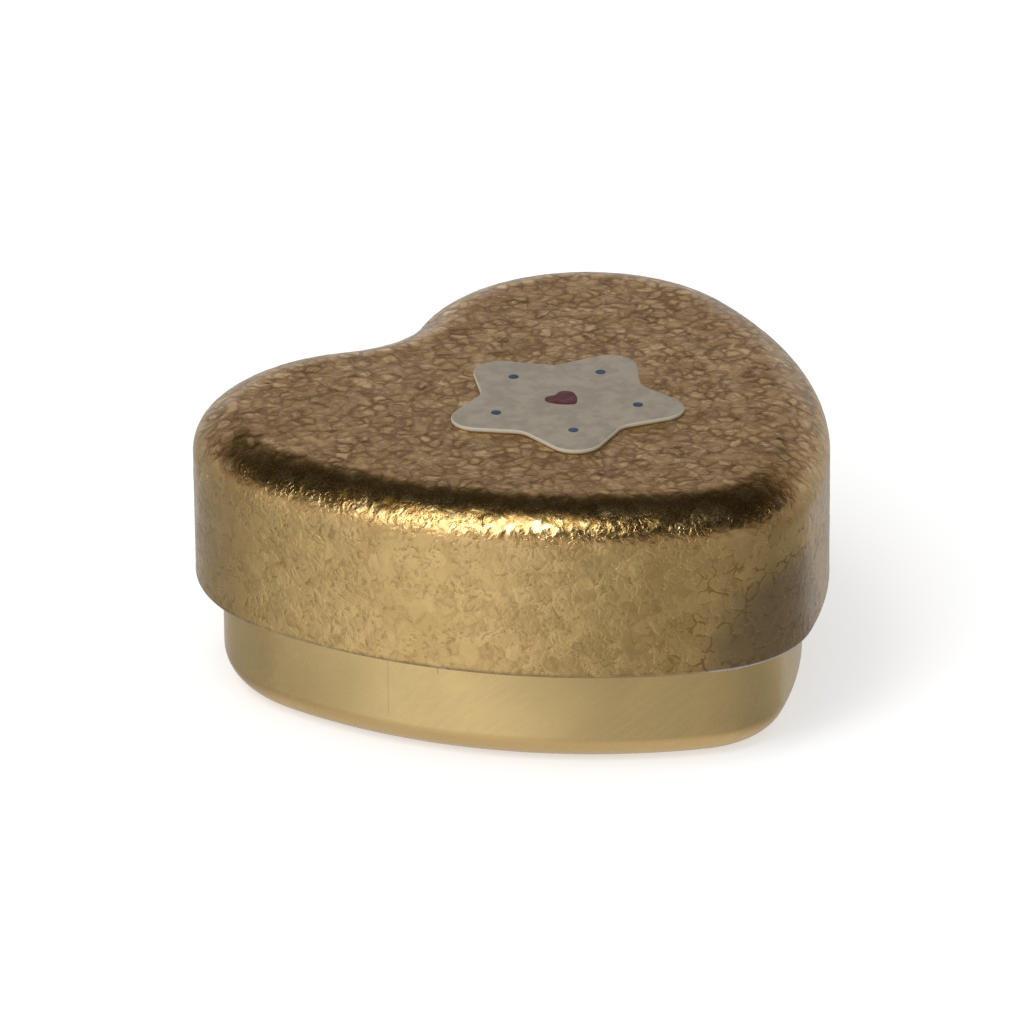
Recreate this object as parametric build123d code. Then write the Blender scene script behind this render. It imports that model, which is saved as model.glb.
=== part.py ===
from build123d import *
import math
import os

# Heart-shaped keepsake tin in millimetres: a drawn base and a lift-off lid, pressed from sheet.
# X runs across the two lobes, +Y points to the notch and -Y to the tip, +Z is up.
# The origin is the centre of the closed tin's footprint, on the surface that it stands on.

# Outline of the lid's skirt, seen from above, as tangent arcs
lobe_spacing = 24.0  # between the centres of the two lobes
lobe_radius = 15.1
tip_distance = 25.0  # from the line through the lobe centres to the tip's centre
tip_radius = 10.5
side_radius = 45.0  # the long gentle arc from lobe to tip
notch_radius = 8.6  # the hollow arc between the lobes

# Sheet and heights
sheet = 0.3
closed_height = 23.5
lid_height = 14.6

# Lid: a soft shoulder of two arcs, a straight skirt and an edge turned in as a flattened roll
shoulder_width = 4.7
shoulder_height = 3.5
shoulder_side_share = 0.8  # radius of the arc beside the skirt, as a share of the shoulder's height
hem_width = 2.1
hem_corner_radius = 0.4  # outside, at both ends of the flattened roll
hem_turn = 180.0  # degrees that its inner end curls back

# Base: a wall inside the lid's hem, a rim rolled inwards, a round corner and a raised floor
slide_clearance = 0.15  # between the lid's hem and the base's wall
seat_clearance = 0.1  # between the base's rim and the inside of the lid's shoulder
rim_diameter = 1.7
rim_turn = 280.0  # degrees
corner_radius = 2.6
foot_width = 1.6  # the flat ring that the tin stands on
floor_slope_width = 0.8
floor_rise_height = 0.4

# Emblem: a star pressed up out of the lid, coated in pale enamel
star_points = 5
star_point_radius = 11.8  # from the star's middle to a point, before rounding
star_valley_radius = 6.9  # from the star's middle to a valley, before rounding
star_point_rounding = 2.2
star_valley_rounding = 1.8
relief_height = 0.3
relief_rounding = 0.12
enamel = 0.1

# Painted motifs on the enamel
dot_radius = 0.45
dot_circle_radius = 6.2  # radius of the ring of dots, one dot in each arm
paint = 0.06
motif_lobe_spacing = 1.3
motif_lobe_radius = 0.8
motif_tip_distance = 1.55
motif_tip_radius = 0.35
motif_side_radius = 3.2
motif_notch_radius = 0.3

touching = 1e-6  # ends closer than this are one point

# Worked out from the sizes above
lid_bottom = closed_height - lid_height
rim_radius = rim_diameter / 2
wall_inset = hem_width + slide_clearance  # base wall, measured in from the lid's skirt
side_arc = shoulder_side_share * shoulder_height
top_arc = ((shoulder_width - side_arc) ** 2 + shoulder_height**2 - side_arc**2) / (
    2 * (shoulder_height - side_arc)
)
enamel_top = closed_height + relief_height + enamel


def polar(centre, radius, degrees):
    """The point at that angle on a circle."""
    turn = math.radians(degrees)
    return (centre[0] + radius * math.cos(turn), centre[1] + radius * math.sin(turn))


def bearing(start, end):
    """The direction from one point to another, in degrees."""
    return math.degrees(math.atan2(end[1] - start[1], end[0] - start[0]))


class HeartOutline:
    """A heart of six tangent arcs. It gives the same heart any distance further in."""

    def __init__(self, spacing, lobe, reach, tip, side, notch):
        # The middle of the heart's length is at y = 0.
        middle = (reach + tip - lobe) / 2
        lobe_at = (spacing / 2, middle)
        tip_at = (0, middle - reach)
        notch_at = (0, middle + math.sqrt((lobe + notch) ** 2 - (spacing / 2) ** 2))
        side_at = self.side_centre(lobe_at, tip_at, side - lobe, side - tip)
        from_tip, from_lobe = bearing(side_at, tip_at), bearing(side_at, lobe_at)
        to_notch = bearing(lobe_at, notch_at)
        # Each arc is its centre, radius, first angle, sweep, and 1 if convex or -1 if hollow.
        right_half = [
            (side_at, side, from_tip, from_lobe - from_tip, 1),
            (lobe_at, lobe, from_lobe, to_notch - from_lobe, 1),
        ]
        left_half = [
            ((-at[0], at[1]), radius, 180 - first - sweep, sweep, bulge)
            for at, radius, first, sweep, bulge in right_half
        ]
        tip_arc = (tip_at, tip, -180 - from_tip, 180 + 2 * from_tip, 1)
        notch_arc = (notch_at, notch, -to_notch, 2 * to_notch - 180, -1)
        self.arcs = [tip_arc, *right_half, notch_arc, *left_half]

    @staticmethod
    def side_centre(lobe_at, tip_at, to_lobe, to_tip):
        """Where circles about the lobe and tip centres cross, on the far side of the heart."""
        gap = math.dist(lobe_at, tip_at)
        along = (to_lobe**2 - to_tip**2 + gap**2) / (2 * gap)
        across = math.sqrt(to_lobe**2 - along**2)
        ux, uy = (tip_at[0] - lobe_at[0]) / gap, (tip_at[1] - lobe_at[1]) / gap
        return (
            lobe_at[0] + ux * along + uy * across,
            lobe_at[1] + uy * along - ux * across,
        )

    def face(self, inset):
        """The flat heart that lies inset from the outline."""
        edges = [
            CenterArc(at, radius - bulge * inset, first, sweep)
            for at, radius, first, sweep, bulge in self.arcs
        ]
        return make_face(edges)

    def carry(self, section):
        """Carries a closed section of (inset, height) points once round the heart."""
        ring = []
        for at, radius, first, sweep, bulge in self.arcs:
            outline = []
            for segment in section:
                points = [(radius - bulge * inset, height) for inset, height in segment]
                outline.append(Line(*points) if len(points) == 2 else ThreePointArc(*points))
            outwards = polar((0, 0), 1, first)
            upright = Plane(
                origin=(at[0], at[1], 0),
                x_dir=(outwards[0], outwards[1], 0),
                z_dir=(outwards[1], -outwards[0], 0),
            )
            axis = Axis((at[0], at[1], 0), (0, 0, 1))
            ring.append(revolve(upright * make_face(outline), axis=axis, revolution_arc=sweep))
        return ring


def arc(centre, radius, first, last):
    """Start, middle and end of an arc in a section."""
    return [polar(centre, radius, turn) for turn in (first, (first + last) / 2, last)]


def joined(runs):
    """Closes a list of arcs and single points into a section, with straight lines between them."""
    section = []
    for run, following in zip(runs, [*runs[1:], runs[0]]):
        if len(run) == 3:
            section.append(run)
        if math.dist(run[-1], following[0]) > touching:
            section.append([run[-1], following[0]])
    return section


heart = HeartOutline(
    lobe_spacing, lobe_radius, tip_distance, tip_radius, side_radius, notch_radius
)


def star_face(grow):
    """The emblem's star with rounded points and valleys, grown outwards by that much."""
    half_turn = 180 / star_points
    corners = [
        polar((0, 0), star_valley_radius if step % 2 else star_point_radius, 90 + step * half_turn)
        for step in range(2 * star_points)
    ]
    rounding = [
        star_valley_rounding if step % 2 else star_point_rounding
        for step in range(2 * star_points)
    ]
    # FilletPolyline rounds the closed path's corners in order, from its first point.
    star = make_face(FilletPolyline(*corners, radius=rounding, close=True))
    return offset(star, amount=grow) if grow else star


def star_block(grow, bottom, top, rounding):
    """A star-shaped block between two heights, with its top edge rounded."""
    block = extrude(Pos(0, 0, bottom) * star_face(grow), amount=top - bottom)
    if rounding:
        block = fillet(block.faces().sort_by(Axis.Z)[-1].edges(), radius=rounding)
    return block


def lid_shell():
    """Panel, shoulder, skirt and turned hem in one sheet, with the star pressed up from inside."""
    top_centre = (shoulder_width, closed_height - top_arc)
    side_centre = (side_arc, closed_height - shoulder_height)
    hem_outer = (hem_corner_radius, lid_bottom + hem_corner_radius)
    hem_inner = (hem_width - hem_corner_radius, lid_bottom + hem_corner_radius)
    blend = bearing(top_centre, side_centre)
    hem_end = 270 + hem_turn
    section = joined(
        [
            arc(top_centre, top_arc, 90, blend),
            arc(side_centre, side_arc, blend, 180),
            arc(hem_outer, hem_corner_radius, 180, 270),
            arc(hem_inner, hem_corner_radius, 270, hem_end),
            arc(hem_inner, hem_corner_radius - sheet, hem_end, 270),
            arc(hem_outer, hem_corner_radius - sheet, 270, 180),
            arc(side_centre, side_arc - sheet, 180, blend),
            arc(top_centre, top_arc - sheet, blend, 90),
        ]
    )
    panel = extrude(
        Pos(0, 0, closed_height - sheet) * heart.face(shoulder_width), amount=sheet
    )
    relief = star_block(0, closed_height - sheet, closed_height + relief_height, relief_rounding)
    hollow = star_block(
        -sheet,
        closed_height - sheet - relief_height,
        closed_height + relief_height - sheet,
        0,
    )
    return Part() + [panel, relief, *heart.carry(section)] - hollow


def base_tray():
    """Raised floor, foot ring, round corner, wall and rolled rim in one sheet."""
    rim_in = wall_inset + rim_radius
    # The rim's round top just clears the inside of the lid's upper shoulder arc.
    reach = top_arc - sheet - rim_radius - seat_clearance
    rim_up = closed_height - top_arc + math.sqrt(reach**2 - (shoulder_width - rim_in) ** 2)
    rim_centre = (rim_in, rim_up)
    corner_centre = (wall_inset + corner_radius, corner_radius)
    foot_in = wall_inset + corner_radius + foot_width
    floor_in = foot_in + floor_slope_width
    rim_end = 180 - rim_turn
    section = joined(
        [
            [(floor_in, floor_rise_height)],
            [(foot_in, 0)],
            arc(corner_centre, corner_radius, 270, 180),
            arc(rim_centre, rim_radius, 180, rim_end),
            arc(rim_centre, rim_radius - sheet, rim_end, 180),
            arc(corner_centre, corner_radius - sheet, 180, 270),
            [(foot_in, sheet)],
            [(floor_in, floor_rise_height + sheet)],
        ]
    )
    floor = extrude(Pos(0, 0, floor_rise_height) * heart.face(floor_in), amount=sheet)
    return Part() + [floor, *heart.carry(section)]


def emblem_enamel():
    """The pale coat over the top and sides of the pressed star."""
    coat = star_block(enamel, closed_height, enamel_top, relief_rounding + enamel)
    relief = star_block(0, closed_height - sheet, closed_height + relief_height, relief_rounding)
    return coat - relief


def emblem_dots():
    """One small painted dot in each arm of the star."""
    return Part() + [
        Pos(*polar((0, 0), dot_circle_radius, 90 + step * 360 / star_points), enamel_top)
        * Cylinder(dot_radius, paint, align=(Align.CENTER, Align.CENTER, Align.MIN))
        for step in range(star_points)
    ]


def emblem_heart():
    """A small painted heart in the middle of the star."""
    motif = HeartOutline(
        motif_lobe_spacing,
        motif_lobe_radius,
        motif_tip_distance,
        motif_tip_radius,
        motif_side_radius,
        motif_notch_radius,
    )
    return extrude(Pos(0, 0, enamel_top) * motif.face(0), amount=paint)


os.makedirs("parts", exist_ok=True)
for make in (lid_shell, base_tray, emblem_enamel, emblem_dots, emblem_heart):
    export_step(make(), f"parts/{make.__name__}.step")
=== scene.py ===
import bmesh
import bpy
import math
from bpy.props import FloatProperty, FloatVectorProperty, IntProperty, PointerProperty
from mathutils import Matrix, Vector, noise


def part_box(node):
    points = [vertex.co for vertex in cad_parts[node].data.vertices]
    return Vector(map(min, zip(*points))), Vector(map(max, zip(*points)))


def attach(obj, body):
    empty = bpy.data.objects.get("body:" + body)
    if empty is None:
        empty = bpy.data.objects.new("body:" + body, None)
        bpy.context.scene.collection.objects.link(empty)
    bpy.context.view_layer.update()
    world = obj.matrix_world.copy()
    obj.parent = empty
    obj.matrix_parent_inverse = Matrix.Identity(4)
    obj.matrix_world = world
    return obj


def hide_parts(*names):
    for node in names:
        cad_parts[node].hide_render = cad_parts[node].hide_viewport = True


bl_info = {
    "name": "Heart Keepsake Tin",
    "version": (1, 0, 0),
    "blender": (4, 5, 0),
    "location": "View3D > Sidebar > Keepsake Tin",
    "description": "Dresses the heart-shaped slip-lid tin: crackle lid, smooth tray and enamel star",
    "category": "Add Mesh",
}

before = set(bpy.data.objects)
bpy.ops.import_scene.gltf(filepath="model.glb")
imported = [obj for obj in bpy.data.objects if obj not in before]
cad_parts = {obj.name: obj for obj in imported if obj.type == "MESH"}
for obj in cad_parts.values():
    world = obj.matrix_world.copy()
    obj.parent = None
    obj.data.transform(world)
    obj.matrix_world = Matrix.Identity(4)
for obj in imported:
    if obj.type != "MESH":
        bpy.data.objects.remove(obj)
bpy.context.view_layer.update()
lid_low, lid_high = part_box("lid_shell")
tray_low, tray_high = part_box("base_tray")
coat_low, coat_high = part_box("emblem_enamel")
dots_low, dots_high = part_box("emblem_dots")
motif_low, motif_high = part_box("emblem_heart")

MM = 0.001
TIN_WIDTH = lid_high.x - lid_low.x
TIN_LENGTH = lid_high.y - lid_low.y
LID_BOTTOM = lid_low.z
PANEL_HEIGHT = coat_low.z  # the enamel coat starts on the lid's flat panel
RIM_HEIGHT = tray_high.z
WALL_INSET = tray_low.x - lid_low.x  # tray wall, measured in from the lid's skirt
COAT_TOP = coat_high.z
PAINT_HEIGHT = dots_high.z - coat_high.z
TOUCHING = 0.002 * MM  # points closer than this are one point
COARSE = 1.0  # how much wider the mesh's steps are while trying things out

# How many straight steps stand for a small curve
STAR_STEPS = 12  # each rounded point or valley of the star
EDGE_STEPS = 6  # the rounded top edge of the star
MOTIF_STEPS = 12  # each arc of the painted heart
DOT_STEPS = 24  # a painted dot's circle

# Marks in the tray's wall: bearing in degrees from +X, lowest point, depth of tone
LINE = (-174.74, 3.0 * MM, 0.35)
TICK = (-163.23, 7.5 * MM, 0.8)
MARK_CORE, MARK_EDGE = 0.0006, 0.0026  # from a mark's middle to where it fades and ends, in radians
CORNER_SHADE_HEIGHT = 2.5 * MM  # the tray's gold is painted darker below this height, as painted shade

# Darkened spots low on the lid's skirt: a strong one at the tip and a faint one on the left lobe
TIP_SPOT = (1.0 * MM, lid_low.y, LID_BOTTOM + 2.0 * MM)
LOBE_SPOT = (-25.5 * MM, 17.5 * MM, LID_BOTTOM + 3.0 * MM)

# A dab of paint, from its foot to its top: share of the outline's width, share of the height
DAB = ((1.0, 0.0), (1.0, 0.35), (0.9, 0.8), (0.7, 1.0))
DAB_WANDER = 0.25 * MM  # how wide the waves in its edge are

# Floor
FLOOR_REACH = 3  # metres from its middle to its edges
FLOOR_GAP = 0.02 * MM  # between it and the tin
FLOOR_SHADE, MIRRORED_SHADE = (0.8, 0.8, 0.8), (0.1, 0.1, 0.1)
FLOOR_GLOW = 0.5  # what it adds for the camera alone

LOOK_AT = Vector((0, 0, PANEL_HEIGHT / 2))  # what the camera and the lamps face
# Lamps: azimuth and elevation in degrees as for the camera, then distance, width and height in
# metres, and power in watts
KEY = (-83, 54, 0.6, 0.28, 0.64, 0.76)
KEY_CENTRE = (-82, 58, 0.58, 0.12, 0.42, 0.55)

# Surroundings that the gold mirrors: colours by height, from the horizon at 0 to overhead at 1
SKY = (
    (0.0, (1.0, 1.0, 1.0)),
    (0.21, (1.18, 1.12, 1.18)),
    (0.42, (0.81, 0.71, 0.69)),
    (0.50, (0.56, 0.485, 0.455)),
    (0.57, (0.32, 0.283, 0.257)),
    (0.69, (0.09, 0.078, 0.066)),
    (0.82, (0.045, 0.038, 0.03)),
    (1.0, (0.04, 0.034, 0.03)),
)
# Their level all round, and what each side adds to it: bearing in degrees from +X, level and
# narrowness
SKY_LEVEL = 0.33
SIDES = ((192, 0.46, 6), (212, -0.03, 14), (308, -0.06, 12), (58, 0.23, 20), (18, 0.15, 12))
GROUND_LEVEL = 0.6  # straight below


def size(name, description, default):
    """A length that a user may change."""
    return FloatProperty(
        name=name, description=description, default=default, unit="LENGTH", precision=5
    )


def share(name, description, default):
    """A plain number that a user may change."""
    return FloatProperty(name=name, description=description, default=default, precision=3)


def colour(name, description, default):
    """A colour that a user may change."""
    return FloatVectorProperty(
        name=name, description=description, default=default, subtype="COLOR", min=0, max=1
    )


def angle(name, description, default):
    """An angle that a user may change."""
    return FloatProperty(
        name=name, description=description, default=math.radians(default), subtype="ANGLE"
    )


class HeartSizes(bpy.types.PropertyGroup):
    """The heart's arcs, seen from above."""

    lobe_spacing: size("Lobe spacing", "Between the centres of the two lobes", 24 * MM)
    tip_radius: size("Tip radius", "Radius of the rounded tip", 10.5 * MM)
    side_radius: size("Side radius", "Radius of the long side arcs", 45 * MM)
    notch_radius: size("Notch radius", "Radius of the hollow between the lobes", 8.6 * MM)
    sheet: size("Sheet", "Thickness of the tinplate", 0.3 * MM)
    step: size("Mesh step", "Edge length of the lid's fine mesh", 0.26 * MM)


class LidSizes(bpy.types.PropertyGroup):
    """Shoulder and hem of the lid."""

    shoulder_width: size("Shoulder width", "From the skirt to the flat panel", 4.7 * MM)
    shoulder_height: size("Shoulder height", "From the skirt's top to the panel", 3.5 * MM)
    side_share: share("Side share", "Side arc's radius as a share of the height", 0.8)
    hem_width: size("Hem width", "Width of the edge turned in as a flattened roll", 2.1 * MM)
    hem_corner_radius: size("Hem corner", "Radius at both ends of the flattened roll", 0.4 * MM)
    hem_turn: angle("Hem turn", "How far the hem's inner end curls back", 180)


class TraySizes(bpy.types.PropertyGroup):
    """Rim, corner and foot of the tray."""

    rim_diameter: size("Rim diameter", "Diameter of the rim rolled inwards", 1.7 * MM)
    rim_turn: angle("Rim turn", "How far the rim is rolled", 280)
    corner_radius: size("Corner radius", "Radius between the wall and the foot", 2.6 * MM)
    foot_width: size("Foot width", "Width of the ring that the tin stands on", 1.6 * MM)
    floor_slope_width: size("Floor slope", "Width of the slope up to the floor", 0.8 * MM)
    floor_rise_height: size("Floor rise", "Height of the floor over the foot", 0.4 * MM)


class EmblemSizes(bpy.types.PropertyGroup):
    """The pressed star and the motifs painted on it."""

    points: IntProperty(name="Points", description="Number of the star's points", default=5)
    point_radius: size("Point radius", "From the middle to a point, unrounded", 11.8 * MM)
    valley_radius: size("Valley radius", "From the middle to a valley, unrounded", 6.9 * MM)
    point_rounding: size("Point rounding", "Radius that rounds the points", 2.2 * MM)
    valley_rounding: size("Valley rounding", "Radius that rounds the valleys", 1.8 * MM)
    coat: size("Coat", "Thickness of the enamel", 0.1 * MM)
    edge_rounding: size("Edge rounding", "Radius of the relief's top edge", 0.12 * MM)


class MotifSizes(bpy.types.PropertyGroup):
    """The small painted heart and the ring of dots."""

    lobe_spacing: size("Lobe spacing", "Between the centres of the two lobes", 1.3 * MM)
    tip_radius: size("Tip radius", "Radius of the rounded tip", 0.35 * MM)
    side_radius: size("Side radius", "Radius of the long side arcs", 3.2 * MM)
    notch_radius: size("Notch radius", "Radius of the hollow between the lobes", 0.3 * MM)
    dot_radius: size("Dot radius", "Radius of a dot", 0.45 * MM)
    ragged: size("Ragged edge", "How far the paint's edge wanders", 0.05 * MM)


class FinishSettings(bpy.types.PropertyGroup):
    """Colours and grain of the finishes."""

    crackle_gold: colour("Crackle gold", "Lacquer on the lid's cells", (0.865, 0.60, 0.252))
    # Painted highlight: the palest cells of the panel, standing in for cells that tilt towards the
    # light.
    crackle_highlight: colour("Crackle pale", "Thin lacquer on the panel's palest cells", (1.0, 0.755, 0.39))
    crackle_dark: colour("Crackle dark", "Lacquer pooled in the lid's cracks", (0.34, 0.19, 0.045))
    # Painted shade along the hem's lower edge and at the star's foot, and the colour of the skirt's
    # darker spots and of the tray's marks.
    shade_and_marks: colour("Tarnish", "Lacquer in a darkened patch and along the hem", (0.26, 0.18, 0.11))
    # Pale tin: a painted highlight along the front of the tip's lower edge, and rubbed-off lacquer in
    # patches.
    tin_highlight_and_wear: colour("Bare tin", "Tinplate where the hem's lacquer is rubbed off", (0.62, 0.65, 0.74))
    smooth_gold: colour("Smooth gold", "Lacquer on the tray", (0.91, 0.665, 0.295))
    # Painted shade: a darker, more orange gold on the tray's round corner.
    corner_shade_gold: colour("Corner gold", "Deeper lacquer on the tray's round corner", (0.80, 0.52, 0.22))
    enamel: colour("Enamel", "Pale enamel on the star", (0.40, 0.345, 0.265))
    # Painted light: the star's sides made paler, as if they catch more light than its top.
    side_highlight: colour("Cream", "Enamel on the star's sides", (0.72, 0.64, 0.50))
    blue: colour("Blue", "Blue paint", (0.02, 0.06, 0.115))
    red: colour("Red", "Dark red paint", (0.11, 0.015, 0.02))
    cell: size("Cell", "Usual width of a crackle cell", 1.2 * MM)
    groove_depth: size("Groove depth", "Depth of the dents and grooves", 0.095 * MM)
    facet_lean: share("Facet lean", "How far the cells lean at random, as a slope", 0.07)
    tilt_depth: size("Tilt depth", "How far the cells lean, from one side to the other", 0.04 * MM)


class StageSettings(bpy.types.PropertyGroup):
    """Camera, lamps and floor."""

    azimuth: angle("Azimuth", "Where the camera stands: 0 looks along +Y", -42.39)
    elevation: angle("Elevation", "How high the camera stands", 25.155)
    roll: angle("Roll", "Turn of the picture", 0.521)
    distance: size("Distance", "From the tin's middle to the camera", 743.35 * MM)
    shift_right: size("Shift right", "How far right of the middle the tin stands", 4.427 * MM)
    shift_up: size("Shift up", "How far above the middle the tin stands", -1.654 * MM)
    pixels_per_mm: share("Pixels per mm", "Scale of the picture at the tin's middle", 12)
    picture_pixels: share("Picture pixels", "Width of the picture", 1024)


GROUPS = {
    "tin_heart": HeartSizes,
    "tin_lid": LidSizes,
    "tin_tray": TraySizes,
    "tin_emblem": EmblemSizes,
    "tin_motif": MotifSizes,
    "tin_finish": FinishSettings,
    "tin_stage": StageSettings,
}


# Outlines


def polar(centre, radius, turn):
    """The point at that angle, in radians, on a circle."""
    return (centre[0] + radius * math.cos(turn), centre[1] + radius * math.sin(turn))


def bearing(start, end):
    """The direction from one point to another, in radians."""
    return math.atan2(end[1] - start[1], end[0] - start[0])


def heart_arcs(heart, width, length):
    """A heart's six arcs: centre, radius, first angle, sweep, and 1 if convex or -1 if hollow."""
    lobe = (width - heart.lobe_spacing) / 2
    reach = length - lobe - heart.tip_radius
    half = heart.lobe_spacing / 2
    middle = (reach + heart.tip_radius - lobe) / 2
    lobe_at, tip_at = (half, middle), (0, middle - reach)
    notch_at = (0, middle + math.sqrt((lobe + heart.notch_radius) ** 2 - half**2))
    to_lobe, to_tip = heart.side_radius - lobe, heart.side_radius - heart.tip_radius
    gap = math.dist(lobe_at, tip_at)
    along = (to_lobe**2 - to_tip**2 + gap**2) / (2 * gap)
    across = math.sqrt(to_lobe**2 - along**2)
    ux, uy = (tip_at[0] - lobe_at[0]) / gap, (tip_at[1] - lobe_at[1]) / gap
    side_at = (lobe_at[0] + ux * along + uy * across, lobe_at[1] + uy * along - ux * across)
    from_tip, from_lobe = bearing(side_at, tip_at), bearing(side_at, lobe_at)
    to_notch = bearing(lobe_at, notch_at)
    right_half = [
        (side_at, heart.side_radius, from_tip, from_lobe - from_tip, 1),
        (lobe_at, lobe, from_lobe, to_notch - from_lobe, 1),
    ]
    left_half = [
        ((-at[0], at[1]), radius, math.pi - first - sweep, sweep, bulge)
        for at, radius, first, sweep, bulge in right_half
    ]
    tip_arc = (tip_at, heart.tip_radius, -math.pi - from_tip, math.pi + 2 * from_tip, 1)
    notch_arc = (notch_at, heart.notch_radius, to_notch - math.pi, math.pi - 2 * to_notch, -1)
    return [tip_arc, *right_half, notch_arc, *reversed(left_half)]


def arc_points(centre, radius, first, last, step):
    """Points along an arc of a section, a step apart."""
    count = max(2, math.ceil(abs(last - first) * radius / step))
    return [polar(centre, radius, first + (last - first) * i / count) for i in range(count + 1)]


def line_points(start, end, step):
    """Points along a straight stretch of a section, without its two ends."""
    count = max(1, round(math.dist(start, end) / step))
    shares = [i / count for i in range(1, count)]
    return [(start[0] + (end[0] - start[0]) * s, start[1] + (end[1] - start[1]) * s) for s in shares]


def carry(bm, arcs, section, step):
    """Spins a section of (inset, height) points once round the heart, arc by arc."""
    centre, radius, first, _, bulge = arcs[0]
    start = [
        bm.verts.new((*polar(centre, radius - bulge * inset, first), z)) for inset, z in section
    ]
    moved = start + [bm.edges.new(ends) for ends in zip(start, start[1:])]
    for centre, radius, first, sweep, bulge in arcs:
        count = max(2, math.ceil(abs(sweep) * radius / step))
        spun = bmesh.ops.spin(
            bm, geom=moved, cent=(*centre, 0), axis=(0, 0, 1), angle=sweep, steps=count
        )
        moved = spun["geom_last"]
    end = [part for part in moved if isinstance(part, bmesh.types.BMVert)]
    bmesh.ops.remove_doubles(bm, verts=start + end, dist=TOUCHING)


def ring(bm, points, height):
    """A closed ring of new edges at a height."""
    verts = [bm.verts.new((*point, height)) for point in points]
    return [bm.edges.new((verts[i - 1], verts[i])) for i in range(len(verts))]


def skin(bm, rings):
    """Bridges each ring to the next, and closes the last one with a face."""
    for low, high in zip(rings, rings[1:]):
        bmesh.ops.bridge_loops(bm, edges=low + high)
    bmesh.ops.edgeloop_fill(bm, edges=rings[-1])


def inset_at(arcs, x, y):
    """How far inside the heart's outline a point lies."""
    insets = []
    for centre, radius, first, sweep, bulge in arcs:
        turn = (bearing(centre, (x, y)) - first) * math.copysign(1, sweep) % (2 * math.pi)
        if turn <= abs(sweep):
            insets.append(bulge * (radius - math.dist(centre, (x, y))))
    return min(insets, default=TIN_WIDTH)


def open_rim(bm, height):
    """The mesh's open edges at that height."""
    return [
        edge
        for edge in bm.edges
        if edge.is_boundary and all(abs(vert.co.z - height) < TOUCHING for vert in edge.verts)
    ]


def fill_panel(bm, height):
    """Closes the open rims at that height with triangles."""
    bmesh.ops.triangle_fill(bm, edges=open_rim(bm, height), use_beauty=True)


def fill_fine_panel(bm, arcs, height, inset, hole, step):
    """Closes the open rims at that height with a fine grid, clear of them and of a round hole."""
    cells = math.ceil(TIN_WIDTH / step)
    across = Matrix.Translation((0, 0, height))
    grid = bmesh.ops.create_grid(
        bm, x_segments=cells, y_segments=cells, size=TIN_WIDTH / 2, matrix=across
    )["verts"]
    outside = [
        v for v in grid if inset_at(arcs, v.co.x, v.co.y) < inset + step or v.co.xy.length < hole
    ]
    bmesh.ops.delete(bm, geom=outside, context="VERTS")
    fill_panel(bm, height)


def finished(bm, name, body, slot, *nodes, sharp=35):
    """Makes the piece from its bmesh: smooth but for its sharp edges, riding on its body."""
    bmesh.ops.recalc_face_normals(bm, faces=bm.faces[:])
    for face in bm.faces:
        face.smooth = True
    for edge in bm.edges:
        edge.smooth = len(edge.link_faces) == 2 and edge.calc_face_angle() < math.radians(sharp)
    mesh = bpy.data.meshes.new(name)
    bm.to_mesh(mesh)
    bm.free()
    piece = bpy.data.objects.new(name, mesh)
    bpy.context.scene.collection.objects.link(piece)
    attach(piece, body)
    if nodes:
        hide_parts(*nodes)
    return piece


def applied(piece):
    """Gives the piece the mesh that its modifiers make, and drops them."""
    bpy.context.view_layer.update()
    evaluated = piece.evaluated_get(bpy.context.evaluated_depsgraph_get())
    mesh = bpy.data.meshes.new_from_object(evaluated)
    piece.modifiers.clear()
    piece.data = mesh


# Node helpers


class Nodes:
    """Adds nodes to a material's, the world's or a modifier's tree, one short call each."""

    def __init__(self, tree):
        self.tree = tree

    def add(self, kind, inputs=(), **settings):
        """A new node with its settings and its inputs."""
        node = self.tree.nodes.new(kind)
        for name, value in settings.items():
            setattr(node, name, value)
        for key, value in dict(inputs).items():
            self.put(node.inputs[key], value)
        return node

    def put(self, socket, value):
        """Links an output to a socket, or sets the socket to a plain value."""
        if isinstance(value, bpy.types.NodeSocket):
            self.tree.links.new(value, socket)
        else:
            socket.default_value = value

    def math(self, operation, a, b=0.0):
        """A sum, product or the like of two numbers."""
        return self.add("ShaderNodeMath", {0: a, 1: b}, operation=operation).outputs[0]

    def vector(self, operation, a, b=(0.0, 0.0, 0.0)):
        """A sum or the like of two vectors, as the output that holds it."""
        node = self.add("ShaderNodeVectorMath", {0: a, 1: b}, operation=operation)
        return node.outputs["Value" if operation in ("DISTANCE", "DOT_PRODUCT") else "Vector"]

    def scaled(self, vector, factor):
        """A vector times a number."""
        inputs = {0: vector, "Scale": factor}
        return self.add("ShaderNodeVectorMath", inputs, operation="SCALE").outputs[0]

    def axis(self, vector, name):
        """One coordinate of a vector."""
        return self.add("ShaderNodeSeparateXYZ", {0: vector}).outputs[name]

    def noise(self, vector, scale, detail=2.0, output="Fac"):
        """Soft noise, as a number around 0.5 or as a colour."""
        inputs = {"Vector": vector, "Scale": scale, "Detail": detail}
        return self.add("ShaderNodeTexNoise", inputs).outputs[output]

    def ramp(self, value, low, high, to_low=0.0, to_high=1.0):
        """A smooth step: to_low where the value is low, to_high where it is high."""
        inputs = {0: value, 1: low, 2: high, 3: to_low, 4: to_high}
        node = self.add("ShaderNodeMapRange", inputs, interpolation_type="SMOOTHSTEP")
        return node.outputs[0]

    def mixed(self, factor, a, b):
        """A colour between two, given with or without its fourth number."""
        a, b = (c if isinstance(c, bpy.types.NodeSocket) else (*c[:3], 1.0) for c in (a, b))
        node = self.add("ShaderNodeMix", {0: factor, 6: a, 7: b}, data_type="RGBA")
        return node.outputs[2]


def cell_net(nodes, place, scale):
    """A net of random cells: the distance to their edges, and the cell that a point lies in."""
    inputs = {"Vector": place, "Scale": scale}
    edge = nodes.add("ShaderNodeTexVoronoi", inputs, feature="DISTANCE_TO_EDGE")
    return edge.outputs["Distance"], nodes.add("ShaderNodeTexVoronoi", inputs, feature="F1").outputs


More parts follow.
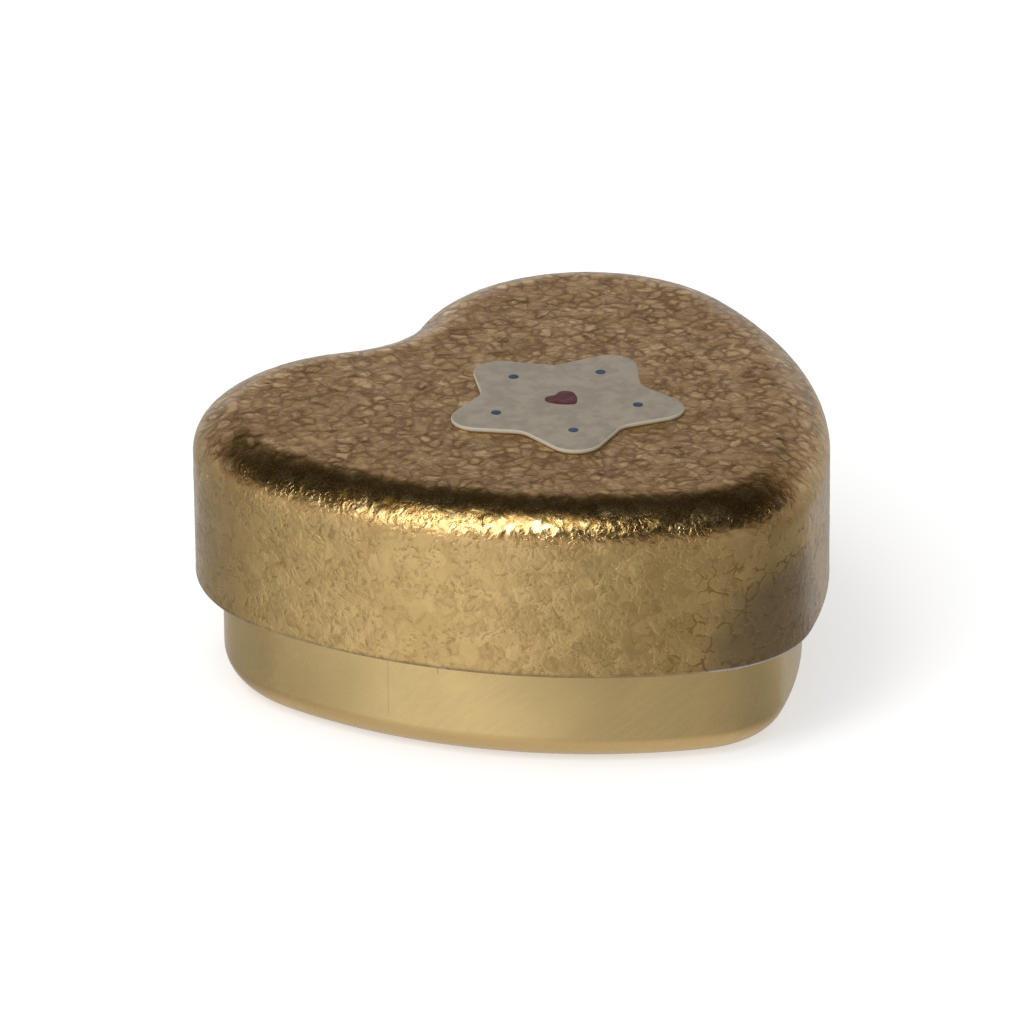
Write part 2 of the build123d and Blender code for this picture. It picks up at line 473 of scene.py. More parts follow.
def crackle(nodes, position, cell):
    """The crackle at a position: how cells lean, tilt, dent and are cracked, and their own shade."""
    place = nodes.scaled(position, 1 / cell)
    grey = (0.5, 0.5, 0.5)  # the middle of a random colour
    for scale, reach in ((0.8, 1.0), (3.1, 0.28)):
        wander = nodes.vector("SUBTRACT", nodes.noise(place, scale, 2.0, "Color"), grey)
        place = nodes.vector("ADD", place, nodes.scaled(wander, reach))
    edge, cells = cell_net(nodes, place, 1.0)
    fine_edge, fine_cells = cell_net(nodes, nodes.vector("ADD", place, (7.3, 1.9, 4.1)), 1.9)

    faded = nodes.ramp(nodes.noise(place, 0.7), 0.3, 0.6, 0.3, 1.0)
    groove = nodes.math("MULTIPLY", nodes.ramp(edge, 0.02, 0.27, 1.0, 0.0), faded)
    broken = nodes.ramp(nodes.noise(place, 0.5), 0.40, 0.60)
    fine_groove = nodes.math("MULTIPLY", nodes.ramp(fine_edge, 0.0, 0.25, 0.5, 0.0), broken)
    groove = nodes.math("MAXIMUM", groove, fine_groove)

    speck = nodes.noise(place, 3.6, 0.0)
    knobs, pits = nodes.ramp(speck, 0.58, 0.70, 0.0, 0.1), nodes.ramp(speck, 0.42, 0.30, 0.0, 0.15)
    pitted = nodes.ramp(nodes.noise(place, 0.45), 0.35, 0.6)
    specks = nodes.math("MULTIPLY", nodes.math("SUBTRACT", knobs, pits), pitted)
    swell = nodes.math("SUBTRACT", nodes.noise(place, 1.6, 1.0), 0.5)
    dents = nodes.math("ADD", specks, nodes.math("MULTIPLY", swell, 0.46))

    lean = nodes.vector("SUBTRACT", cells["Color"], grey)
    fine_lean = nodes.vector("SUBTRACT", fine_cells["Color"], grey)
    tilt = nodes.vector("DOT_PRODUCT", nodes.vector("SUBTRACT", place, cells["Position"]), lean)
    lean = nodes.vector("ADD", lean, nodes.scaled(fine_lean, 0.7))
    return lean, tilt, dents, groove, nodes.axis(cells["Color"], "X")


def crackle_relief(finish):
    """A geometry nodes tree that presses the same crackle pattern into a skin's mesh."""
    tree = bpy.data.node_groups.new("Crackle relief", "GeometryNodeTree")
    tree.interface.new_socket("Geometry", in_out="INPUT", socket_type="NodeSocketGeometry")
    tree.interface.new_socket("Geometry", in_out="OUTPUT", socket_type="NodeSocketGeometry")
    nodes = Nodes(tree)
    start, end = nodes.add("NodeGroupInput"), nodes.add("NodeGroupOutput")
    position = nodes.add("GeometryNodeInputPosition").outputs[0]
    normal = nodes.add("GeometryNodeInputNormal").outputs[0]
    skin = nodes.add("GeometryNodeInputNamedAttribute", {"Name": "pressed"}).outputs["Attribute"]
    _, tilt, dents, groove, _ = crackle(nodes, position, finish.cell)
    raised = nodes.math("MULTIPLY", nodes.math("SUBTRACT", dents, groove), 0.15)
    raised = nodes.math("SUBTRACT", nodes.math("ADD", tilt, raised), 0.5)
    down = nodes.math("MULTIPLY", nodes.math("MULTIPLY", raised, finish.tilt_depth), skin)
    down = nodes.math("MINIMUM", down, 0.0)
    inputs = {"Geometry": start.outputs[0], "Offset": nodes.scaled(normal, down)}
    pressed = nodes.add("GeometryNodeSetPosition", inputs)
    tree.links.new(pressed.outputs[0], end.inputs[0])
    return tree


def new_material(name):
    """An empty material: its node helper, its Principled shader and its object coordinates."""
    material = bpy.data.materials.new(name)
    material.use_nodes = True
    nodes = Nodes(material.node_tree)
    shader = material.node_tree.nodes["Principled BSDF"]
    position = nodes.add("ShaderNodeTexCoord").outputs["Object"]
    return material, nodes, shader, position


# Finishes


def lacquered(nodes, shader, bump):
    """Bright metal under a clear coat of lacquer that shares its relief."""
    for socket in ("Normal", "Coat Normal"):
        nodes.put(shader.inputs[socket], bump.outputs[0])
    shader.inputs["Metallic"].default_value = 1.0
    shader.inputs["Coat Weight"].default_value = 0.25
    shader.inputs["Coat Roughness"].default_value = 0.15


def from_spot(nodes, position, spot):
    """How far a point is from a darkened spot, with a wandering edge."""
    wander = nodes.math("MULTIPLY", nodes.noise(position, 260.0, 4.0), 4.0 * MM)
    return nodes.math("ADD", nodes.vector("DISTANCE", position, spot), wander)


def darkened(nodes, position):
    """How dark the lid's spots are, and how far browner cracks and a brown wash reach round the tip's.
    """
    away = from_spot(nodes, position, TIP_SPOT)
    dark = nodes.ramp(away, 7.0 * MM, 10.5 * MM, 0.7, 0.0)
    cracked = nodes.ramp(away, 9.0 * MM, 16.0 * MM, 1.0, 0.0)
    around = nodes.ramp(away, 13.0 * MM, 26.0 * MM, 1.0, 0.0)
    away = from_spot(nodes, position, LOBE_SPOT)
    dark = nodes.math("MAXIMUM", dark, nodes.ramp(away, 4.0 * MM, 12.0 * MM, 0.2, 0.0))
    return dark, cracked, around


def edge_shade_and_wear(nodes, position):
    """Painted shade along the lid's lower edge, and where that edge is pale tin: a painted highlight
    and rubbed patches.
    """
    above = nodes.math("SUBTRACT", nodes.axis(position, "Z"), LID_BOTTOM)
    wander = nodes.math("MULTIPLY", nodes.noise(position, 900.0, 2.0), 0.6 * MM)
    # Painted shade: a brown band along the lower edge, with a wandering top.
    dark = nodes.ramp(nodes.math("ADD", above, wander), 0.4 * MM, 0.85 * MM, 0.7, 0.0)
    edge = nodes.ramp(above, 0.10 * MM, 0.38 * MM, 1.0, 0.0)
    # Along the front of the tip the pale tin is a painted highlight; in the patches elsewhere the
    # lacquer is rubbed off.
    at_tip = nodes.ramp(nodes.axis(position, "X"), -7.0 * MM, -5.0 * MM)
    at_front = nodes.ramp(nodes.axis(position, "Y"), -16.0 * MM, -19.0 * MM)
    patches = nodes.ramp(nodes.noise(position, 210.0, 3.0), 0.62, 0.68)
    pale_tin_edge = nodes.math("MAXIMUM", nodes.math("MULTIPLY", at_tip, at_front), patches)
    return dark, nodes.math("MULTIPLY", edge, pale_tin_edge)


def crackle_colour(nodes, position, finish, on_top, dents, groove, shade):
    """Gold cells of uneven tone, brown in the cracks, with dark spots, painted shade in the dents and
    along the lower edge, and painted highlight on the panel's palest cells and the tip's front edge.
    """
    gold, deep = finish.crackle_gold, finish.crackle_dark
    # The panel's tone spreads further: partly the cells' own uneven tone, partly painted light and
    # shade for cells tilted towards the light and away from it.
    uneven = nodes.math("ADD", nodes.math("MULTIPLY", on_top, 0.4), 0.45)
    blotch = nodes.ramp(nodes.noise(position, 130.0, 2.0), 0.3, 0.7, 0.0, 0.25)
    tone = nodes.math("ADD", nodes.math("MULTIPLY", shade, uneven), blotch)
    # Painted shade: darker in the low points of the dents.
    tone = nodes.math("ADD", tone, nodes.ramp(dents, -0.06, -0.16, 0.0, 0.8))
    cells = nodes.mixed(tone, gold, [(a + b) / 2 for a, b in zip(gold, deep)])
    # Painted highlight: the panel's palest cells are lifted to a lighter gold.
    palest = nodes.math("MULTIPLY", nodes.ramp(shade, 0.05, 0.45, 0.75, 0.0), on_top)
    cells = nodes.mixed(palest, cells, finish.crackle_highlight)

    # The brown fills the cracks on top and near the tip's spot, and is a fine line elsewhere.
    spot, cracked, around = darkened(nodes, position)
    narrow = nodes.math("SUBTRACT", 6.0, nodes.math("MULTIPLY", on_top, 5.35))
    crack = nodes.math("POWER", groove, narrow)
    brown = nodes.math("MULTIPLY", nodes.math("MAXIMUM", on_top, cracked), 0.7)
    stain = nodes.math("MULTIPLY", crack, nodes.math("ADD", brown, 0.25))
    stain = nodes.math("MAXIMUM", stain, nodes.math("MULTIPLY", around, 0.24))
    colour_out = nodes.mixed(stain, cells, deep)
    colour_out = nodes.mixed(spot, colour_out, finish.shade_and_marks)
    dark, pale_tin_edge = edge_shade_and_wear(nodes, position)
    # Painted shade along the lower edge, then pale tin: a painted highlight at the tip's front, wear in
    # patches.
    colour_out = nodes.mixed(dark, colour_out, finish.shade_and_marks)
    return nodes.mixed(pale_tin_edge, colour_out, finish.tin_highlight_and_wear)


def crackle_bump(nodes, finish, below_panel, grain, lean, dents, groove):
    """Leaning cells with dents and grooves: crinkled round the shoulder, calm on the panel."""
    surface = nodes.add("ShaderNodeNewGeometry").outputs["Normal"]
    leaning = nodes.vector("ADD", surface, nodes.scaled(lean, finish.facet_lean))
    leaning = nodes.vector("NORMALIZE", leaning)
    height = nodes.math("SUBTRACT", dents, nodes.math("MULTIPLY", groove, 0.12))
    height = nodes.math("ADD", nodes.math("MULTIPLY", grain, 0.02), height)
    crinkled = nodes.ramp(below_panel, 7.0 * MM, 3.5 * MM, 1.0, 1.35)
    calm = nodes.ramp(below_panel, 1.7 * MM, 0.6 * MM, 1.0, 0.2)
    inputs = {
        "Strength": nodes.math("MULTIPLY", crinkled, calm),
        "Distance": finish.groove_depth,
        "Height": height,
        "Normal": leaning,
    }
    return nodes.add("ShaderNodeBump", inputs)


def crackle_gold(finish):
    """Gold crackle lacquer: cells about a millimetre across, darker in the cracks between them."""
    material, nodes, shader, position = new_material("crackle_gold")
    lean, _, dents, groove, shade = crackle(nodes, position, finish.cell)
    below_panel = nodes.math("SUBTRACT", PANEL_HEIGHT, nodes.axis(position, "Z"))
    on_top = nodes.ramp(below_panel, 2.5 * MM, 1.0 * MM)
    colour_out = crackle_colour(nodes, position, finish, on_top, dents, groove, shade)
    grain = nodes.noise(position, 5200.0, 3.0)
    in_groove = nodes.math("MULTIPLY", groove, 0.1)
    roughness = nodes.math("ADD", nodes.ramp(grain, 0.3, 0.7, 0.16, 0.24), in_groove)
    nodes.put(shader.inputs["Base Color"], colour_out)
    nodes.put(shader.inputs["Roughness"], roughness)
    lacquered(nodes, shader, crackle_bump(nodes, finish, below_panel, grain, lean, dents, groove))
    return material


def wall_marks(nodes, position):
    """Fine upright marks in the tray's wall: a long one and a short one, fading out under the lid."""
    height = nodes.axis(position, "Z")
    turn = nodes.math("ARCTAN2", nodes.axis(position, "Y"), nodes.axis(position, "X"))
    marks = 0.0
    for bearing_of_mark, lowest, strength in (LINE, TICK):
        off = nodes.math("ABSOLUTE", nodes.math("SUBTRACT", turn, math.radians(bearing_of_mark)))
        line = nodes.ramp(off, MARK_CORE, MARK_EDGE, strength, 0.0)
        line = nodes.math("MULTIPLY", line, nodes.ramp(height, lowest - 0.2 * MM, lowest))
        marks = nodes.math("MAXIMUM", line, marks)
    fade = nodes.ramp(height, LID_BOTTOM + 1.0 * MM, LID_BOTTOM + 4.0 * MM, 1.0, 0.0)
    return nodes.math("MULTIPLY", marks, fade)


def smooth_gold(finish, name, marked):
    """Smooth gold lacquer on bright tinplate: faint rubbing marks, a slow, soft blotch, and painted
    shade on the round corner.
    """
    material, nodes, shader, position = new_material(name)
    slow = nodes.noise(position, 90.0, 2.0)
    # The rubbing marks are noise drawn out along a slanting line.
    slant = {
        "Vector": position,
        "Rotation": (0.0, -0.61, -0.74),
        "Scale": (7 * MM, 0.5 * MM, 0.5 * MM),
    }
    rub = nodes.add("ShaderNodeMapping", slant, vector_type="TEXTURE").outputs[0]
    lines = nodes.noise(rub, 1.0, 3.0)
    worn = [0.86 * c for c in finish.smooth_gold]
    colour_out = nodes.mixed(nodes.ramp(slow, 0.35, 0.7), finish.smooth_gold, worn)
    if marked:
        colour_out = nodes.mixed(wall_marks(nodes, position), colour_out, finish.shade_and_marks)
    height = nodes.axis(position, "Z")
    # Painted shade: the round corner is darker and more orange below this height.
    corner = nodes.ramp(height, CORNER_SHADE_HEIGHT - 0.25 * MM, CORNER_SHADE_HEIGHT, 0.55, 0.0)
    colour_out = nodes.mixed(corner, colour_out, finish.corner_shade_gold)
    nodes.put(shader.inputs["Base Color"], colour_out)
    nodes.put(shader.inputs["Roughness"], nodes.ramp(lines, 0.3, 0.75, 0.23, 0.35))
    relief = nodes.math("ADD", nodes.math("MULTIPLY", lines, 0.08), slow)
    inputs = {"Strength": 1.0, "Distance": 0.02 * MM, "Height": relief}
    lacquered(nodes, shader, nodes.add("ShaderNodeBump", inputs))
    return material


def enamel(finish):
    """Pale, matt enamel with a faint mottle and a fine grain, painted lighter on the relief's sides as
    painted light, with painted shade at their foot.
    """
    material, nodes, shader, position = new_material("pale_enamel")
    mottle = nodes.noise(position, 900.0, 3.0)
    grain = nodes.noise(position, 5200.0, 2.0)
    dull = [0.82 * c for c in finish.enamel]
    top = nodes.mixed(nodes.ramp(mottle, 0.35, 0.65), finish.enamel, dull)
    height = nodes.axis(position, "Z")
    # Painted light: the sides of the relief are a paler colour.
    side = nodes.ramp(height, COAT_TOP - 0.10 * MM, COAT_TOP - 0.03 * MM, 1.0, 0.0)
    # Painted shade: a dark line at the foot of the sides.
    foot = nodes.ramp(height, PANEL_HEIGHT + 0.03 * MM, PANEL_HEIGHT + 0.13 * MM, 1.0, 0.0)
    rim = nodes.mixed(foot, finish.side_highlight, finish.shade_and_marks)
    nodes.put(shader.inputs["Base Color"], nodes.mixed(side, top, rim))
    nodes.put(shader.inputs["Roughness"], nodes.ramp(grain, 0.3, 0.7, 0.42, 0.52))
    relief = nodes.math("ADD", nodes.math("MULTIPLY", grain, 0.4), mottle)
    inputs = {"Strength": 1.0, "Distance": 0.012 * MM, "Height": relief}
    nodes.put(shader.inputs["Normal"], nodes.add("ShaderNodeBump", inputs).outputs[0])
    return material


def paint(name, tint):
    """Matt paint, thinner in places."""
    material, nodes, shader, position = new_material(name)
    thin = nodes.ramp(nodes.noise(position, 1500.0, 3.0), 0.4, 0.7)
    pale = [0.8 * c + 0.04 for c in tint]
    nodes.put(shader.inputs["Base Color"], nodes.mixed(thin, tint, pale))
    shader.inputs["Roughness"].default_value = 0.5
    return material


# Pieces


def lid_sections(lid, sheet, step):
    """The lid's outer and inner sections as (inset, height) points, from panel to panel."""
    width, height = lid.shoulder_width, lid.shoulder_height
    side = lid.side_share * height
    top = ((width - side) ** 2 + height**2 - side**2) / (2 * (height - side))
    hem, fine = lid.hem_corner_radius, step / 3
    top_at = (width, PANEL_HEIGHT - top)
    side_at = (side, PANEL_HEIGHT - height)
    hem_at = (hem, LID_BOTTOM + hem)
    curl_at = (lid.hem_width - hem, LID_BOTTOM + hem)
    blend = bearing(top_at, side_at)
    under = math.pi * 1.5
    hem_end = under + lid.hem_turn
    outer = arc_points(top_at, top, math.pi / 2, blend, step)
    outer += arc_points(side_at, side, blend, math.pi, step)[1:]
    outer += line_points((0, side_at[1]), (0, hem_at[1]), step)
    outer += arc_points(hem_at, hem, math.pi, under, fine)
    inner = arc_points(curl_at, hem, under, hem_end, fine)
    inner += arc_points(curl_at, hem - sheet, hem_end, under, fine)
    inner += arc_points(hem_at, hem - sheet, under, math.pi, fine)
    inner += arc_points(side_at, side - sheet, math.pi, blend, 4 * step)
    inner += arc_points(top_at, top - sheet, blend, math.pi / 2, 4 * step)[1:]
    return outer, inner


def star_outline(emblem, grow):
    """Points of the star with rounded points and valleys, grown outwards by that much."""
    outline = []
    half_turn = math.pi / emblem.points
    corners = [
        polar((0, 0), radius, math.pi / 2 + i * half_turn)
        for i, radius in enumerate((emblem.point_radius, emblem.valley_radius) * emblem.points)
    ]
    for i, corner in enumerate(corners):
        before, after = corners[i - 1], corners[(i + 1) % len(corners)]
        back, ahead = bearing(corner, before), bearing(corner, after)
        opening = (back - ahead) % (2 * math.pi)
        hollow = i % 2 == 1
        inside = ahead + opening / 2
        half = (2 * math.pi - opening) / 2 if hollow else opening / 2
        radius = emblem.valley_rounding if hollow else emblem.point_rounding
        away = radius / math.sin(half)
        centre = polar(corner, away, inside + math.pi if hollow else inside)
        turn = math.pi - 2 * half
        radius = radius - grow if hollow else radius + grow
        middle = inside if hollow else inside + math.pi
        sign = -1 if hollow else 1
        for j in range(STAR_STEPS + 1):
            across = sign * turn * (j / STAR_STEPS - 0.5)
            outline.append(polar(centre, radius, middle + across))
    return outline


def star_cap(bm, emblem, grow, bottom, top, rounding):
    """A star-shaped cap, open below, with its top edge rounded, grown outwards by that much."""
    rings = [ring(bm, star_outline(emblem, grow), bottom)]
    last = EDGE_STEPS if rounding else 0
    turns = [math.pi / 2 * i / EDGE_STEPS for i in range(last + 1)]
    for turn in turns:
        inwards, upwards = rounding * (1 - math.cos(turn)), rounding * (1 - math.sin(turn))
        rings.append(ring(bm, star_outline(emblem, grow - inwards), top - upwards))
    skin(bm, rings)
    return {vert for loop in rings for edge in loop for vert in edge.verts}


def brushed(bm, outline, ragged):
    """A thin dab of paint inside an outline: a wandering edge, and a face that bulges a little."""
    middle = sum((Vector(point) for point in outline), Vector((0, 0))) / len(outline)
    rings = []
    for width, height in DAB:
        points = []
        for point in outline:
            wander = noise.noise(Vector((*point, 0)) / DAB_WANDER)
            way = Vector(point) - middle
            reach = (way.length - ragged * (0.5 + 0.5 * wander)) * width
            points.append(middle + way.normalized() * reach)
        rings.append(ring(bm, points, COAT_TOP + PAINT_HEIGHT * height))
    skin(bm, rings)
    bmesh.ops.edgeloop_fill(bm, edges=rings[0])


class TIN_OT_lid(bpy.types.Operator):
    """Makes the lid: panel, shoulder, skirt and hem, pressed with the crackle"""

    bl_idname = "tin.lid"
    bl_label = "Crackle lid"

    def execute(self, context):
        scene = context.scene
        heart, lid = scene.tin_heart, scene.tin_lid
        emblem, finish = scene.tin_emblem, scene.tin_finish
        step, sheet = heart.step * COARSE, heart.sheet
        arcs = heart_arcs(heart, TIN_WIDTH, TIN_LENGTH)
        outer, inner = lid_sections(lid, sheet, step)
        relief_top = COAT_TOP - emblem.coat
        bm = bmesh.new()
        pressed = bm.verts.layers.float.new("pressed")
        carry(bm, arcs, inner, step)
        inside = set(bm.faces)
        carry(bm, arcs, outer + inner[:1], step)
        star = star_cap(bm, emblem, 0, PANEL_HEIGHT, relief_top, emblem.edge_rounding)
        fill_fine_panel(bm, arcs, PANEL_HEIGHT, lid.shoulder_width, emblem.point_radius, step)
        outside = set(bm.faces) - inside
        for vert in {vert for face in outside for vert in face.verts} - star:
            over_hem = (vert.co.z - LID_BOTTOM) / lid.hem_corner_radius - 1
            vert[pressed] = min(1.0, max(0.0, over_hem))
        star_cap(bm, emblem, -sheet, PANEL_HEIGHT - sheet, relief_top - sheet, 0)
        fill_panel(bm, PANEL_HEIGHT - sheet)
        for face in set(bm.faces) - outside:
            face.material_index = 1
        # Both skins end at the same ring under the hem, and are joined there.
        seam = [vert for vert in bm.verts if vert.is_boundary]
        bmesh.ops.remove_doubles(bm, verts=seam, dist=TOUCHING)
        piece = finished(bm, "lid", "lid", "crackle_gold", "lid_shell")
        crackled = piece.modifiers.new("Crackle", "NODES")
        crackled.node_group = crackle_relief(finish)
        applied(piece)
        piece.data.materials.append(crackle_gold(finish))
        piece.data.materials.append(smooth_gold(finish, "lid_inside_gold", False))
        return {"FINISHED"}


class TIN_OT_tray(bpy.types.Operator):
    """Makes the tray: floor, foot ring, round corner, wall and rolled rim"""

    bl_idname = "tin.tray"
    bl_label = "Smooth tray"

    def execute(self, context):
        scene = context.scene
        heart, tray, finish = scene.tin_heart, scene.tin_tray, scene.tin_finish
        sheet, step = heart.sheet, 2 * heart.step
        rim, corner = tray.rim_diameter / 2, tray.corner_radius
        rim_at = (WALL_INSET + rim, RIM_HEIGHT - rim)
        corner_at = (WALL_INSET + corner, corner)
        foot_in = WALL_INSET + corner + tray.foot_width
        floor_in = foot_in + tray.floor_slope_width
        down, out = -math.pi / 2, -math.pi
        rim_end = math.pi - tray.rim_turn
        section = [(floor_in, tray.floor_rise_height), (foot_in, 0)]
        section += arc_points(corner_at, corner, down, out, step / 2)
        section += arc_points(rim_at, rim, math.pi, rim_end, step / 2)
        section += arc_points(rim_at, rim - sheet, rim_end, math.pi, step / 2)
        section += arc_points(corner_at, corner - sheet, out, down, step / 2)
        section += [(foot_in, sheet), (floor_in, tray.floor_rise_height + sheet)]
        bm = bmesh.new()
        carry(bm, heart_arcs(heart, TIN_WIDTH, TIN_LENGTH), section, step)
        fill_panel(bm, tray.floor_rise_height)
        fill_panel(bm, tray.floor_rise_height + sheet)
        piece = finished(bm, "tray", "base", "smooth_gold", "base_tray", sharp=20)
        piece.data.materials.append(smooth_gold(finish, "smooth_gold", True))
        return {"FINISHED"}


class TIN_OT_star(bpy.types.Operator):
    """Finishes the enamel star"""

    bl_idname = "tin.star"
    bl_label = "Enamel star"

    def execute(self, context):
        scene = context.scene
        emblem, finish = scene.tin_emblem, scene.tin_finish
        bm = bmesh.new()
        coat, rounding = emblem.coat, emblem.edge_rounding
        star_cap(bm, emblem, coat, PANEL_HEIGHT, COAT_TOP, rounding + coat)
        star_cap(bm, emblem, 0, PANEL_HEIGHT, COAT_TOP - coat, rounding)
        fill_panel(bm, PANEL_HEIGHT)
        piece = finished(bm, "star", "lid", "pale_enamel", "emblem_enamel", sharp=50)
        piece.data.materials.append(enamel(finish))
        return {"FINISHED"}


class TIN_OT_motifs(bpy.types.Operator):
    """Finishes the painted motifs on the star"""

    bl_idname = "tin.motifs"
    bl_label = "Painted motifs"

    def execute(self, context):
        scene = context.scene
        motif, finish = scene.tin_motif, scene.tin_finish
        small = heart_arcs(motif, motif_high.x - motif_low.x, motif_high.y - motif_low.y)
        outline = [
            polar(centre, radius, first + sweep * i / MOTIF_STEPS)
            for centre, radius, first, sweep, bulge in small
            for i in range(MOTIF_STEPS)
        ]
        bm = bmesh.new()
        brushed(bm, outline, motif.ragged)
        piece = finished(bm, "red_heart", "lid", "red_paint", "emblem_heart", sharp=60)
        piece.data.materials.append(paint("red_paint", finish.red))
        bm = bmesh.new()
        count = scene.tin_emblem.points
        reach = dots_high.y - motif.dot_radius
        for i in range(count):
            centre = polar((0, 0), reach, math.pi / 2 + 2 * math.pi * i / count)
            turns = [2 * math.pi * j / DOT_STEPS for j in range(DOT_STEPS)]
            brushed(bm, [polar(centre, motif.dot_radius, turn) for turn in turns], motif.ragged)
        piece = finished(bm, "blue_dots", "lid", "blue_paint", "emblem_dots", sharp=60)
        piece.data.materials.append(paint("blue_paint", finish.blue))
        return {"FINISHED"}


# Stage


class TIN_OT_stage(bpy.types.Operator):
    """Sets the floor, the lamps, the surroundings and the camera"""

    bl_idname = "tin.stage"
    bl_label = "Stage"

    def execute(self, context):
        stage = context.scene.tin_stage
        set_camera(context.scene, stage)
        set_floor()
        set_lamps()
        set_world(context.scene)
        context.scene.view_settings.view_transform = "Standard"
        return {"FINISHED"}


def directions(azimuth, elevation):
    """Right, up and back of a camera that stands at that azimuth and elevation."""
    right = Vector((math.cos(azimuth), math.sin(azimuth), 0))
    back = Vector(
        (
            math.sin(azimuth) * math.cos(elevation),
            -math.cos(azimuth) * math.cos(elevation),
            math.sin(elevation),
        )
    )
    return right, back.cross(right), back


def stand(data, axes, place):
    """Stands a camera or a lamp at a place. Its axes are its right, up and back."""
    thing = bpy.data.objects.new(data.name, data)
    bpy.context.scene.collection.objects.link(thing)
    thing.rotation_mode = "QUATERNION"
    thing.rotation_quaternion = Matrix(axes).transposed().to_quaternion()
    thing.location = place
    return thing


def set_camera(scene, stage):
    """Stands the camera where the photograph was taken from."""
    right, up, back = directions(stage.azimuth, stage.elevation)
    cos, sin = math.cos(stage.roll), math.sin(stage.roll)
    right, up = right * cos - up * sin, right * sin + up * cos
    data = bpy.data.cameras.new("camera")
    data.sensor_width = 36
    focal_pixels = stage.pixels_per_mm * stage.distance / MM
    data.lens = data.sensor_width * focal_pixels / stage.picture_pixels
    data.clip_start, data.clip_end = 0.01, 20
    aside = right * stage.shift_right + up * stage.shift_up
    scene.camera = stand(data, (right, up, back), LOOK_AT - aside + back * stage.distance)


def ray_kinds(nodes):
    """Whether a ray comes from the camera, and whether it is mirrored or refracted."""
    path = nodes.add("ShaderNodeLightPath").outputs
    mirrored = nodes.math("MAXIMUM", path["Is Glossy Ray"], path["Is Transmission Ray"])
    return path["Is Camera Ray"], mirrored


def set_floor():
    """A wide floor that shows nearly white, keeps the shadow and lets the gold mirror the studio."""
    bm = bmesh.new()
    bmesh.ops.create_grid(bm, x_segments=1, y_segments=1, size=FLOOR_REACH)
    mesh = bpy.data.meshes.new("floor")
    bm.to_mesh(mesh)
    bm.free()
    floor = bpy.data.objects.new("floor", mesh)
    floor.location.z = -FLOOR_GAP
    bpy.context.scene.collection.objects.link(floor)
    material = bpy.data.materials.new("floor")
    material.use_nodes = True
    nodes = Nodes(material.node_tree)
    material.node_tree.nodes.remove(material.node_tree.nodes["Principled BSDF"])
    camera_ray, mirrored = ray_kinds(nodes)
    shade = nodes.mixed(mirrored, FLOOR_SHADE, MIRRORED_SHADE)
    diffuse = nodes.add("ShaderNodeBsdfDiffuse", {"Color": shade})
    lift = nodes.math("MULTIPLY", camera_ray, FLOOR_GLOW)
    glow = nodes.add("ShaderNodeEmission", {"Color": (1, 1, 1, 1), "Strength": lift})
    both = nodes.add("ShaderNodeAddShader", {0: diffuse.outputs[0], 1: glow.outputs[0]})
    clear = nodes.add("ShaderNodeBsdfTransparent", {"Color": mirrored})
    both = nodes.add("ShaderNodeAddShader", {0: both.outputs[0], 1: clear.outputs[0]})
    nodes.put(material.node_tree.nodes["Material Output"].inputs["Surface"], both.outputs[0])
    mesh.materials.append(material)


def side_level(nodes, place):
    """How bright the surroundings are on each side: most by the lamp, least at the right."""
    way = nodes.vector("NORMALIZE", nodes.vector("MULTIPLY", place, (1, 1, 0)))
    level = SKY_LEVEL
    for side, added, narrowness in SIDES:
        towards = (*polar((0, 0), 1, math.radians(side)), 0)
        facing = nodes.math("MAXIMUM", nodes.vector("DOT_PRODUCT", way, towards), 0.0)
        facing = nodes.math("POWER", facing, narrowness)
        level = nodes.math("ADD", nodes.math("MULTIPLY", facing, added), level)
    return level


def add_lamp(name, azimuth, elevation, distance, width, height, power):
    """A soft lamp that faces the tin's middle."""
    axes = directions(math.radians(azimuth), math.radians(elevation))
    data = bpy.data.lights.new(name, "AREA")
    data.shape = "RECTANGLE"
    data.size, data.size_y = width, height
    data.energy = power
    stand(data, axes, LOOK_AT + axes[-1] * distance)


def set_lamps():
    """One tall soft lamp at the left, brighter along its middle."""
    add_lamp("key", *KEY)
    add_lamp("key_centre", *KEY_CENTRE)


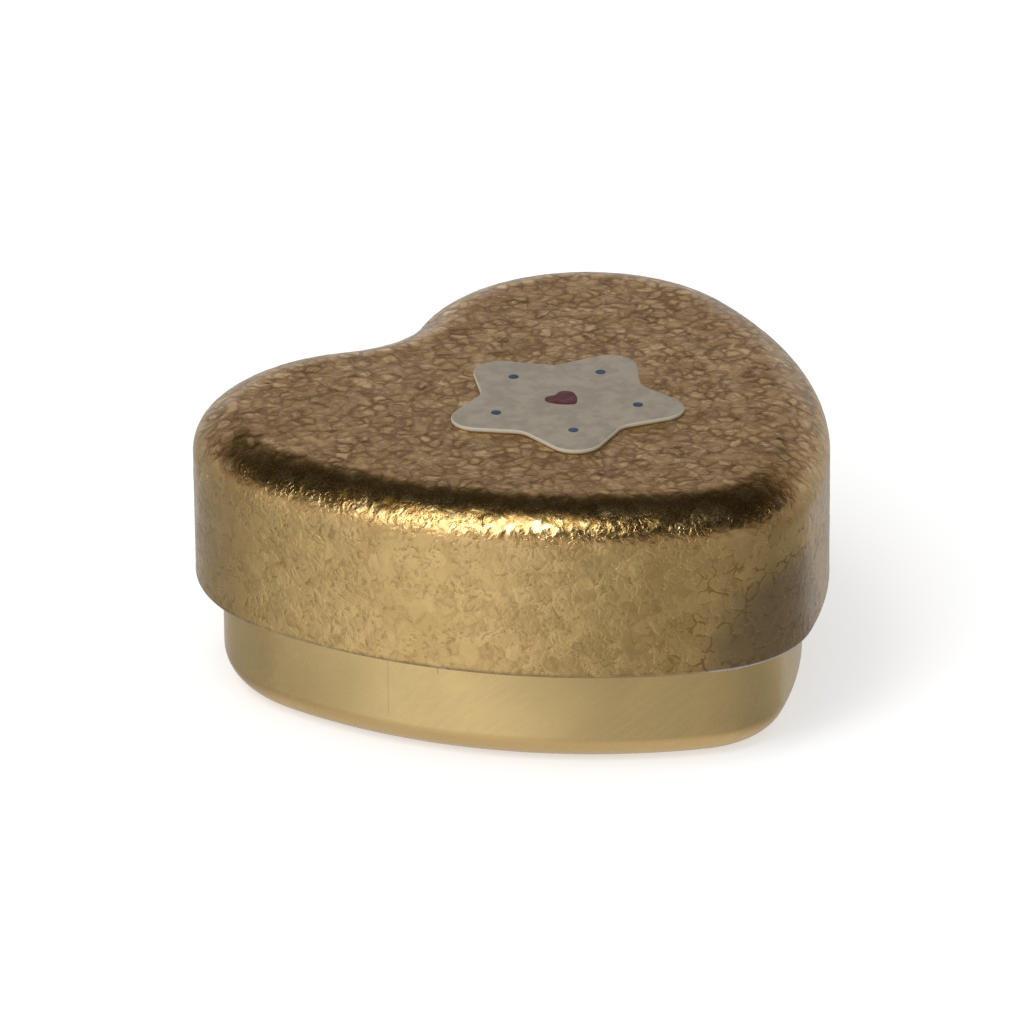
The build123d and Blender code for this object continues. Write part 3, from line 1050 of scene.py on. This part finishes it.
def set_world(scene):
    """A plain white backdrop, and a small studio that is pale low down and dark overhead to mirror."""
    world = bpy.data.worlds.new("studio")
    world.use_nodes = True
    scene.world = world
    nodes = Nodes(world.node_tree)
    direction = nodes.add("ShaderNodeTexCoord").outputs["Generated"]
    height = nodes.axis(direction, "Z")
    ramp = nodes.add("ShaderNodeValToRGB", {0: height})
    stops = ramp.color_ramp.elements
    for position, tint in SKY[1:-1]:
        stops.new(position).color = (*tint, 1)
    for stop, (position, tint) in ((stops[0], SKY[0]), (stops[-1], SKY[-1])):
        stop.position, stop.color = position, (*tint, 1)
    level = side_level(nodes, direction)
    under = nodes.ramp(height, -0.9, -0.55, 1.0, 0.0)
    change = nodes.math("MULTIPLY", nodes.math("SUBTRACT", GROUND_LEVEL, level), under)
    level = nodes.math("ADD", change, level)
    level = nodes.math("SUBTRACT", level, nodes.ramp(height, -0.02, 0.0, 0.08, 0.0))
    studio = nodes.add("ShaderNodeBackground", {"Color": ramp.outputs[0], "Strength": level})
    camera_ray, mirrored = ray_kinds(nodes)
    level = nodes.math("ADD", nodes.math("MULTIPLY", camera_ray, 0.5), 0.5)
    plain = nodes.add("ShaderNodeBackground", {"Color": (1, 1, 1, 1), "Strength": level})
    inputs = {0: mirrored, 1: plain.outputs[0], 2: studio.outputs[0]}
    surface = nodes.add("ShaderNodeMixShader", inputs).outputs[0]
    nodes.put(world.node_tree.nodes["World Output"].inputs["Surface"], surface)


# The add-on


class TIN_PT_panel(bpy.types.Panel):
    """Lists the tin's pieces and settings"""

    bl_label = "Keepsake Tin"
    bl_idname = "TIN_PT_panel"
    bl_space_type = "VIEW_3D"
    bl_region_type = "UI"
    bl_category = "Keepsake Tin"

    def draw(self, context):
        for operator in OPERATORS:
            self.layout.operator(operator.bl_idname)
        for name, group in GROUPS.items():
            box = self.layout.box()
            box.label(text=group.__doc__)
            for prop in group.__annotations__:
                box.prop(getattr(context.scene, name), prop)


OPERATORS = (TIN_OT_lid, TIN_OT_tray, TIN_OT_star, TIN_OT_motifs, TIN_OT_stage)
CLASSES = (*GROUPS.values(), *OPERATORS, TIN_PT_panel)


def register():
    """Registers the classes and hangs the settings on the scene."""
    for cls in CLASSES:
        bpy.utils.register_class(cls)
    for name, group in GROUPS.items():
        setattr(bpy.types.Scene, name, PointerProperty(type=group))


def unregister():
    """Takes the settings and the classes away again."""
    for name in GROUPS:
        delattr(bpy.types.Scene, name)
    for cls in reversed(CLASSES):
        bpy.utils.unregister_class(cls)


def main():
    """Builds every piece and the stage."""
    register()
    bpy.ops.tin.lid()
    bpy.ops.tin.tray()
    bpy.ops.tin.star()
    bpy.ops.tin.motifs()
    bpy.ops.tin.stage()


if __name__ == "__main__":
    main()
